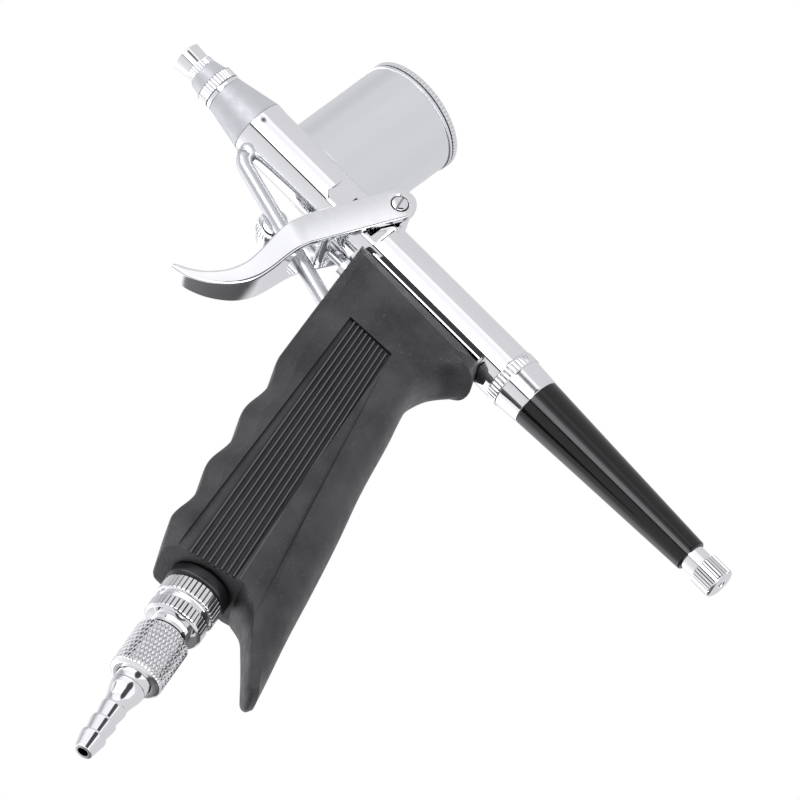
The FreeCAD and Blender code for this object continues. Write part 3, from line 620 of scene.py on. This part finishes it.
def trigger_pins():
    """The lugs that draw the needle tube and the round web that opens the air valve."""
    for side, name in ((-1, "left"), (1, "right")):
        turned("needle_lug_" + name, (64, 0, 0), (0, side, 0), [
            (2.5, 0), (2.5, 1.5, 0.2), (7.2, 1.5), (7.2, 0)], "trigger", "chrome", [], INNER_CHROME)
    turned("valve_web", (63.5, 0, -11.5), (0, 1, 0), [
        (-7.2, 0), (-7.2, 1.5), (7.2, 1.5), (7.2, 0)], "trigger", "chrome", [], INNER_CHROME)


def pivot():
    screw = turned_mesh("pivot_screw_head", PIVOT, (0, -1, 0), [
        (-6, 0), (-6, 1.5), (8, 1.5), (8, 2.15), (8.75, 2.15, 0.3), (8.93, 1.3, 0.2), (8.93, 0)])
    driver = block(-3, 3, 1, -0.28, 0.28)
    driver.matrix_world = (Matrix.Translation((PIVOT + Vector((0, -9.2, 0))) * MM)
                           @ Matrix.Rotation(math.radians(-108), 4, "Y"))
    boolean(screw, driver)
    install(screw, "gun", "chrome", ["pivot_screw"])
    turned("pivot_cap_nut", PIVOT, (0, 1, 0), [
        (6, 0), (6, 1.5), (8, 1.5), (8, 2.15), (8.5, 2.15, 0.3), (8.9, 1.4, 0.3), (8.9, 0)],
        "gun", "chrome", ["pivot_nut"])


# --- air duct and its knob ---

DUCT_R = 2.1
DUCT_SLOPE = math.radians(15.6)
DUCT_AT = Vector((37.3, -12.0))          # a point on the axis of its straight run, in (x, z)
DUCT_ROOT_X = 31.0
DUCT_BEND = 4.5          # radius of the bend below the root
DUCT_END_X = 83.0
DUCT_SIDES = 64
DUCT_FLARE = ((-6.2, 3.6), (-6.7, 3.5), (-7.2, 3.0), (-7.7, 2.6), (-8.4, 2.25), (-9.2, DUCT_R))
AIR_KNOB_X = 50.0


def duct_z(x):
    return DUCT_AT.y - math.tan(DUCT_SLOPE) * (x - DUCT_AT.x)


def duct_path():
    """(x, z, radius) down the flared root, round the bend and straight into the grip."""
    turn = math.pi / 2 - DUCT_SLOPE
    top = duct_z(DUCT_ROOT_X) + DUCT_BEND * math.tan(turn / 2)
    path = [(DUCT_ROOT_X, z, r) for z, r in DUCT_FLARE]
    for k in range(13):
        a = turn * k / 12
        path.append((DUCT_ROOT_X + DUCT_BEND * (1 - math.cos(a)), top - DUCT_BEND * math.sin(a), DUCT_R))
    return path + [(DUCT_END_X, duct_z(DUCT_END_X), DUCT_R)]


def duct_loops(path):
    """A ring of points round each point of the path, square to the path there."""
    turns = [2 * math.pi * j / DUCT_SIDES for j in range(DUCT_SIDES)]
    loops = []
    for i, (x, z, r) in enumerate(path):
        before, after = path[max(i - 1, 0)], path[min(i + 1, len(path) - 1)]
        ahead = Vector((after[0] - before[0], 0, after[1] - before[1])).normalized()
        normal = ahead.cross(Vector((0, 1, 0)))
        loops.append([Vector((x, 0, z)) + normal * r * math.cos(t) + Vector((0, r * math.sin(t), 0))
                      for t in turns])
    return loops


def air_duct():
    """Drops out of the head with a brazed flare, bends, and runs straight into the grip."""
    piece = lofted("air_duct_tube", duct_loops(duct_path()))
    seat = (AIR_KNOB_X, 0, duct_z(AIR_KNOB_X))
    boolean(piece, turned_mesh("boss", seat, (0, 1, 0), [
        (0.2, 0), (0.2, 3.0), (2.9, 3.0, 0.2), (2.9, 0)]), "UNION")
    boolean(piece, turned_mesh("spindle_bore", seat, (0, 1, 0), [
        (0.6, 0), (0.6, 1.1), (3.5, 1.1), (3.5, 0)]))
    install(piece, "gun", "chrome", ["air_duct"], SATIN_CHROME)
    turned("air_knob_turned", seat, (0, 1, 0), [
        (0.8, 0), (0.8, 1.0), (3.2, 1.0), (3.2, 4.4, 0.2), (5.4, 4.4, 0.2), (5.4, 4.0, 0.1),
        (10.2, 3.5, 0.5), (10.2, 0)],
        "air_knob", "chrome", ["air_control_knob"], knurl=Knurl(3.15, 5.45, 30, 0.26))


# --- paint cup ---

def paint_cup():
    turned("cup_wall", CUP, (0, 0, 1), [
        (12.3, 14.9), (12.3, 15.5, 0.35), (45.6, 15.5), (45.7, 15.8, 0.1), (46.6, 15.8, 0.2),
        (46.6, 14.9, 0.15)],
        "gun", "chrome", ["paint_cup"], material=CUP_NICKEL)
    turned("cup_cone", CUP, (0, 0, 1), [
        (8.3, 1.6), (8.3, 4.2, 0.2), (12.35, 15.3), (12.9, 14.9), (9.1, 2.2, 0.3)],
        "gun", "chrome", ["cup_floor"], material=CUP_NICKEL)
    turned("lid_cap", CUP, (0, 0, 1), [
        (44.4, 14.18), (44.4, 14.78), (46.9, 14.78), (46.9, 15.88, 0.15), (48.25, 15.88, 0.25),
        (48.8, 14.9, 0.5), (48.55, 8), (48.65, 0), (48.0, 0), (48.0, 14.18)],
        "cup_lid", "chrome", ["cup_lid"], knurl=Knurl(46.85, 48.4, 84, 0.3, (0, 0.8, 1, 0.8)))
    refined("cup_stem", "gun", "chrome")
    refined("valve_block", "gun", "chrome", INNER_CHROME)
    refined("valve_casing", "gun", "chrome", INNER_CHROME)


# --- grip ---

FINGER_RUN = Vector((17.1, -55.2))       # from the first of the four bumps to the last
FINGER_DEPTH = 0.95                      # half the depth of the hollows between them
SOLE_FRONT = INLET.xz - ACROSS.xz * 13.6
SPUR_NOTCH = INLET.xz + ACROSS.xz * 9.6


def finger_front(start, shallower):
    """Three shallow hollows between four rounded bumps."""
    hollow = Vector((math.cos(RAKE), math.sin(RAKE))) * (FINGER_DEPTH - shallower)
    curve = []
    for k in range(49):
        t = k / 48
        curve.append(start + FINGER_RUN * t + hollow * (1 - math.cos(6 * math.pi * t)))
    return curve


def widest_border():
    """Front, spur, rear and top rear corner of the grip's widest outline, as (x, z)."""
    front = [Vector((71.8, GRIP_TOP)), Vector((82.3, -47.4)),
             SOLE_FRONT + Vector((0.2, 0.9)), SOLE_FRONT + ACROSS.xz * 0.9]
    spur = [tuple(SPUR_NOTCH), (131.4, -106.4), (136.4, -110.8), (141.6, -116.0),
            (145.2, -119.9), (147.2, -121.7), (149.4, -121.6), (150.3, -119.6)]
    rear = [(150.3, -119.6), (147.8, -113.6), (141.8, -99.9), (135.6, -84.6), (129.2, -69.5),
            (122.4, -54.6), (116.5, -39.6), (113.2, -32.0), (111.4, -27.0), (111.2, -22.0),
            (112.9, -16.0), (116.6, -12.0), (118.0, -11.0)]
    return front, spur, rear, Vector((115.8, GRIP_TOP))


def face_border():
    """The same for the border of the flat side face."""
    front = [Vector((75.2, -11.1)), Vector((87.3, -46.0)),
             SOLE_FRONT + Vector((4.6, 2.6)), SOLE_FRONT + ACROSS.xz * 4.9 + Vector((0, 1))]
    spur = [(SPUR_NOTCH.x + 0.4, SPUR_NOTCH.y + 1.2), (132.0, -105.4), (137.0, -110.0),
            (142.2, -115.4), (145.6, -119.0), (147.3, -120.6), (148.7, -120.5), (149.2, -118.8)]
    rear = [(149.2, -118.8), (144.9, -114.2), (134.4, -100.9), (128.2, -89.2), (122.0, -76.8),
            (116.9, -62.0), (112.7, -48.2), (109.6, -38.6), (108.2, -31.6), (107.7, -26.4),
            (108.0, -20.6), (109.0, -15.6), (110.3, -12.6)]
    return front, spur, rear, Vector((110.2, -11.9))


def grip_outline(front, spur, rear, corner, shallower):
    """Closed side outline, with the same number of points in each part for every border."""
    points = [front[0].lerp(front[1], k / 24) for k in range(24)]
    points += finger_front(front[1], shallower)
    points += [points[-1].lerp(front[2], k / 4) for k in range(1, 5)]
    points += [front[3].lerp(Vector(spur[0]), k / 12) for k in range(12)]
    points += smooth(spur, 6)[:-1]
    points += smooth(rear, 6)
    points += [Vector(rear[-1]).lerp(corner, k / 3) for k in range(1, 4)]
    points += [corner.lerp(front[0], k / 24) for k in range(1, 24)]
    return points


# share of the half thickness, then how far the surface has moved from the widest outline to the
# flat face's there: where the edge is bevelled, and where it is rounded
GRIP_LEVELS = [
    (1, 1, 1), (0.93, 0.76, 0.77), (0.86, 0.52, 0.62), (0.8, 0.33, 0.51), (0.74, 0.17, 0.42),
    (0.69, 0.07, 0.36), (0.62, 0.015, 0.28), (0.5, 0, 0.17), (0.3, 0, 0.06), (0.1, 0, 0.01)]
GRIP_REAR = (76, 21)      # outline points before the rear strap, and after it
REAR_BLEND = 8            # outline points over which the strap's rounding comes in
SPUR_START = Vector((132.0, 0, -97.0))
SPUR_DIR = Vector((0.594, 0, -0.804))
SPUR_TAPER = 0.0155       # share of the thickness lost per mm down the spur


def thinned(point):
    """The spur gets thinner from both sides towards its tip."""
    down = max(0, (point - SPUR_START).dot(SPUR_DIR))
    point.y *= 1 - down * SPUR_TAPER
    return point


def rear_share(i, n):
    """0 at an outline point of the front and top edges, 1 on the rounded rear strap."""
    into = min(i - GRIP_REAR[0], n - GRIP_REAR[1] - i)
    return min(1, max(0, into / REAR_BLEND))


def grip():
    """Layers from the left face to the right, each between the widest outline and the face's."""
    wide = grip_outline(*widest_border(), 0)
    flat = grip_outline(*face_border(), 0.2)
    n = len(wide)
    loops = []
    for t, sharp, soft in [(-t, *shares) for t, *shares in GRIP_LEVELS] + GRIP_LEVELS[::-1]:
        loop = []
        for i in range(n):
            rounding = rear_share(i, n)
            place = wide[i].lerp(flat[i], sharp * (1 - rounding) + soft * rounding)
            loop.append(thinned(Vector((place.x, t * GRIP_HALF, place.y))))
        loops.append(loop)
    piece = lofted("grip_moulding", loops)
    cut_grip(piece)
    install(piece, "gun", "black_plastic", ["grip"], crease=20)
    for side, name in ((-1, "left"), (1, "right")):
        grip_ribs(side, name)
    grip_top_shade_and_plate()


# sections of the black strip that paints the shade under the barrel and of the plate's edge, as (y, z) on
# the right side
GAP_SHADE_SECTION = ((5.2, -5.6), (6.6, -7.1), (6.9, -7.1), (6.75, -5.0), (5.9, -4.85))
PLATE_EDGE = ((6.3, -7.45), (7.95, -7.4), (8.15, -7.1), (8.1, -7.0), (6.3, -7.0))


def grip_top_shade_and_plate():
    """A black strip of painted shade in the gap between the barrel and the chrome plate, and the plate's
    edge that shows along the grip's top.
    """
    for side, name in ((-1, "left"), (1, "right")):
        # Painted shade: a black strip fills the gap under the barrel, where there is only shade.
        gap_shade = prism("painted_shade_" + name, [(side * y, z) for y, z in GAP_SHADE_SECTION], 77.2, 114.6, "x")
        install(gap_shade, "gun", "black_plastic", [], BUSH_PLASTIC)
        edge = prism("plate_edge_" + name, [(side * y, z) for y, z in PLATE_EDGE], 75.6, 115.0, "x")
        install(edge, "gun", "chrome", [])


RIB_TOPS = (Vector((88.3, -27.0)), Vector((100.0, -27.0)))
RIB_FEET = (Vector((111.3, -108.2)), Vector((125.0, -103.8)))
RIB_COUNT = 9
RIB_SECTION = ((-0.36, -0.15), (-0.28, 0.5), (-0.16, 0.66), (0.16, 0.66), (0.28, 0.5), (0.36, -0.15))
PANEL_DEPTH = 0.75


def cut_grip(piece):
    """Pockets for the valve block, the inlet tube and the two ribbed panels."""
    boolean(piece, block(79.9, 102.1, 6.6, -30.1, 0))
    boolean(piece, block(75.5, 115.1, 6.6, -8, 0))
    boolean(piece, block(66, 79.9, 4.7, -12, 0))
    for origin, along, start, end, r in (
            ((0, 0, -11.5), X, 66, 79.9, 3.5), (INLET, INLET_DIR, -9, 5, 6.7),
            ((DUCT_AT.x, 0, DUCT_AT.y), (math.cos(DUCT_SLOPE), 0, -math.sin(DUCT_SLOPE)), 28, 47, 2.2)):
        boolean(piece, turned_mesh("bore", origin, along, [(start, 0), (start, r), (end, r), (end, 0)]))
    across = Vector((1.1, 0.3))
    panel = [RIB_TOPS[0] - across * 1.6 + Vector((0, 0.6)), RIB_TOPS[1] + across + Vector((0, 0.6)),
             RIB_FEET[1] + across - Vector((0, 8)), RIB_FEET[0] - across * 1.6 - Vector((0, 8))]
    for side in (-1, 1):
        low, high = sorted((side * (GRIP_HALF - PANEL_DEPTH), side * (GRIP_HALF + 1)))
        boolean(piece, prism("panel", panel, low, high))


def grip_ribs(side, name):
    """Fine raised ribs along each panel, joined to its floor."""
    verts, faces = [], []
    for i in range(RIB_COUNT):
        t = i / (RIB_COUNT - 1)
        top = RIB_TOPS[0].lerp(RIB_TOPS[1], t)
        foot = RIB_FEET[0].lerp(RIB_FEET[1], t)
        across = (foot - top).normalized().orthogonal()
        near = len(verts)
        far = near + len(RIB_SECTION)
        for end in (top, foot):
            for w, h in RIB_SECTION:
                place = end + across * w
                verts.append((place.x, side * (GRIP_HALF - PANEL_DEPTH + h), place.y))
        faces += [list(range(near, far)), list(range(far, len(verts)))]
        for j in range(len(RIB_SECTION)):
            k = (j + 1) % len(RIB_SECTION)
            faces.append([near + j, near + k, far + k, far + j])
    piece = from_faces("grip_ribs_" + name, verts, faces)
    install(piece, "gun", "black_plastic", [], crease=50)


# --- inlet fittings ---

def fittings():
    turned("grip_collar", INLET, INLET_DIR, [
        (-8, 4.5), (-8, 6.6), (0, 6.6), (0, 8.75, 0.5), (3.7, 8.75, 1.4), (3.7, 4.5)],
        "gun", "black_plastic", ["grip_bush"], material=BUSH_PLASTIC)
    turned("grip_nut_turned", INLET, INLET_DIR, [
        (3.7, 4.5), (3.7, 7.9), (4.0, 8.45, 0.2), (8.3, 8.45, 0.2), (8.6, 8.0), (8.6, 7.3, 0.1),
        (10.3, 7.3, 0.1), (10.3, 4.5)],
        "gun", "chrome", ["grip_nut"], knurl=Knurl(3.65, 8.65, 40, 0.36))
    turned("quick_plug_turned", INLET, INLET_DIR, [
        (10.5, 4.5), (10.5, 7.7), (10.8, 8.2, 0.2), (14.2, 8.2, 0.1), (15.0, 7.6, 0.15), (15.0, 5.4, 0.1),
        (17.2, 5.4), (17.3, 5.0), (17.5, 5.0), (17.6, 5.4), (18.3, 5.4, 0.15), (18.3, 3.2), (22.6, 3.2),
        (22.6, 2.6), (25.2, 2.6), (25.2, 3.2), (27.5, 3.2), (28.4, 2.6), (28.4, 1.7), (13, 1.7), (13, 4.5)],
        "gun", "chrome", ["quick_plug"], knurl=Knurl(10.45, 14.25, 40, 0.36))
    turned("sleeve_turned", INLET, INLET_DIR, [
        (18.6, 5.9), (18.6, 6.7, 0.15), (19.2, 7.4), (32.9, 7.4), (33.4, 7.0, 0.15), (33.9, 6.3, 0.2),
        (33.9, 4.95), (32.4, 4.95), (32.4, 5.9), (25.2, 5.9), (25.2, 5.0), (22.4, 5.0), (22.4, 5.9)],
        "coupler_sleeve", "chrome", ["coupler_sleeve"], knurl=Knurl(19.15, 32.95, 42, 0.36, twist=0.34))
    refined("coupler_body", "coupler", "chrome")
    barb()


def barb():
    flare = [(36.6, 4.7, 0.2), (38.4, 4.5, 0.8), (40.2, 3.9, 0.8), (41.8, 3.42, 0.7), (43.7, 3.25, 0.1)]
    ribs = []
    for i in range(3):
        crest = 44.2 + 5.1 * i
        ribs += [(crest - 0.3, 3.5, 0.08), (crest + 0.3, 3.5, 0.12), (crest + 4.75, 2.75 if i < 2 else 2.5)]
    turned("barb_turned", INLET, INLET_DIR,
           [(33.0, 1.5), (33.0, 2.2), (36.6, 2.2)] + flare + ribs[:-1] + [(59.7, 2.5, 0.12), (59.7, 1.5)],
           "coupler", "chrome", ["hose_barb"])


# --- springs ---

def springs():
    """Springs made from their CAD solids and put on their bodies."""
    for node, body, joint, seat, along, keep in (
            ("needle_spring", "gun", "trigger_pull", Vector((105.8, 0, 0)), X, 0.934),
            ("valve_spring", "gun", "trigger_pull", Vector((91.9, 0, -11.5)), X, 0.465),
            ("coupler_spring", "coupler", "sleeve_pull", INLET + INLET_DIR * 30.2, INLET_DIR, 0.465)):
        spring = refined(node, body, "steel")
        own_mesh(spring)


# --- what the CAD shapes keep ---

def plate_cad_nodes():
    """Every carried-over CAD node takes the material of its slot."""
    for part in frame["record"]["subparts"]:
        node = frame["nodes"][part["node"]]
        node.data.materials.clear()
        node.data.materials.append(MATERIALS[part["material_slot"]])


# --- studio ---

FLOOR_Z = -2.9
FLOOR_SIZE = 30
DOME_PEAK = 4.5

# (degrees round the barrel's axis from +Y towards +Z, brightness) of the dome's bands
DOME_BANDS = [
    (-180, 0.98), (-170, 1.3), (-162, 4.0), (-146, 4.5), (-143, 3.5), (-141.5, 0.03), (-136.5, 0.03),
    (-134.5, 0.72), (-90, 0.8), (-60, 1.0), (-45, 1.8), (-30, 1.6), (0, 0.85), (29, 0.68), (90, 0.68),
    (152, 0.7), (158, 1.1), (168, 1.0), (180, 0.98)]

# where the dome darkens: a direction, and (how far a ray points that way, share of brightness)
DOME_SHADES = [
    ((0.62, 0.65, -0.45), [(-1, 1), (0.7, 1), (0.82, 0.12), (1, 0.08)]),
    ((0.16, -0.983, 0.087), [(-1, 1), (0.94, 1), (0.956, 0.1), (1, 0.06)]),
    ((-1, 0, 0), [(-1, 1), (0.8, 1), (0.92, 0.85), (1, 0.6)])]


def dome_shade(nodes, links, way, stops):
    """The share of brightness that is left, by how far a ray points a given way."""
    place = nodes.new("ShaderNodeTexCoord")
    reach = nodes.new("ShaderNodeVectorMath")
    reach.operation = "DOT_PRODUCT"
    reach.inputs[1].default_value = way
    links.new(place.outputs["Generated"], reach.inputs[0])
    share = nodes.new("ShaderNodeMapRange")
    share.inputs["From Min"].default_value = -1
    links.new(reach.outputs["Value"], share.inputs["Value"])
    ramp = nodes.new("ShaderNodeValToRGB")
    links.new(share.outputs["Result"], ramp.inputs["Fac"])
    paint_ramp(ramp.color_ramp, [((x + 1) / 2, value) for x, value in stops])
    return ramp.outputs["Color"]


def paint_ramp(ramp, stops):
    """Sets a grey ramp from (place, value) stops."""
    while len(ramp.elements) < len(stops):
        ramp.elements.new(0.5)
    for element, (place, value) in zip(ramp.elements, stops):
        element.position = place
        element.color = (value, value, value * 1.01, 1)


def paper_floor():
    bpy.ops.mesh.primitive_plane_add(size=FLOOR_SIZE, location=(0.1, 0, FLOOR_Z))
    floor = bpy.context.object
    floor.name = "floor"
    paper = Shader("floor_paper", 0.0, 0.9)
    paper.colour(paper.mixed(paper.noise(30, 3), (0.86, 0.86, 0.86), (0.9, 0.9, 0.9)))
    floor.data.materials.append(paper.material)
    floor.visible_glossy = False


def dome_bands(nodes, links):
    """Brightness by the angle of a ray round the barrel's axis."""
    towards = nodes.new("ShaderNodeSeparateXYZ")
    links.new(nodes.new("ShaderNodeTexCoord").outputs["Generated"], towards.inputs[0])
    angle = nodes.new("ShaderNodeMath")
    angle.operation = "ARCTAN2"
    links.new(towards.outputs["Z"], angle.inputs[0])
    links.new(towards.outputs["Y"], angle.inputs[1])
    share = nodes.new("ShaderNodeMapRange")
    share.inputs["From Min"].default_value = -math.pi
    share.inputs["From Max"].default_value = math.pi
    links.new(angle.outputs[0], share.inputs["Value"])
    ramp = nodes.new("ShaderNodeValToRGB")
    links.new(share.outputs["Result"], ramp.inputs["Fac"])
    paint_ramp(ramp.color_ramp, [((a + 180) / 360, value / DOME_PEAK) for a, value in DOME_BANDS])
    return ramp.outputs["Color"]


def studio():
    """A pale floor far below, and a bright dome with soft grey and dark bands along the barrel."""
    paper_floor()
    world = bpy.data.worlds.new("studio_dome")
    bpy.context.scene.world = world
    world.use_nodes = True
    nodes, links = world.node_tree.nodes, world.node_tree.links
    light = dome_bands(nodes, links)
    for way, stops in DOME_SHADES:
        both = nodes.new("ShaderNodeVectorMath")
        both.operation = "MULTIPLY"
        links.new(light, both.inputs[0])
        links.new(dome_shade(nodes, links, way, stops), both.inputs[1])
        light = both.outputs[0]
    dome = nodes["Background"]
    dome.inputs["Strength"].default_value = DOME_PEAK
    links.new(light, dome.inputs["Color"])
    sheet = nodes.new("ShaderNodeBackground")
    sheet.inputs["Color"].default_value = (1, 1, 1, 1)
    seen = nodes.new("ShaderNodeLightPath")
    mix = nodes.new("ShaderNodeMixShader")
    links.new(seen.outputs["Is Camera Ray"], mix.inputs["Fac"])
    links.new(dome.outputs["Background"], mix.inputs[1])
    links.new(sheet.outputs["Background"], mix.inputs[2])
    links.new(mix.outputs[0], nodes["World Output"].inputs["Surface"])


EYE_DISTANCE = 5.0        # far enough away that the view is nearly parallel
FRAME_WIDTH = 0.2039      # what the frame spans at the object


def camera():
    back = Vector((0.2623, -0.8367, -0.4807)).normalized()
    up = Vector((-0.68, -0.5137, 0.5231))
    right = up.cross(back).normalized()
    up = back.cross(right)
    lens = bpy.data.cameras.new("photo_camera")
    lens.sensor_width = 36
    lens.lens = lens.sensor_width * EYE_DISTANCE / FRAME_WIDTH
    lens.clip_start = 0.01
    lens.clip_end = 50
    eye = bpy.data.objects.new("photo_camera", lens)
    turn = Matrix((right, up, back)).transposed().to_4x4()
    target = Vector((0.1088, 0, -0.0277))
    eye.matrix_world = Matrix.Translation(target + back * EYE_DISTANCE) @ turn
    bpy.context.collection.objects.link(eye)
    bpy.context.scene.camera = eye


plate_cad_nodes()
spray_head()
barrel()
tail()
trigger()
pivot()
air_duct()
paint_cup()
grip()
fittings()
springs()
studio()
camera()
bpy.context.scene.view_settings.view_transform = "Standard"
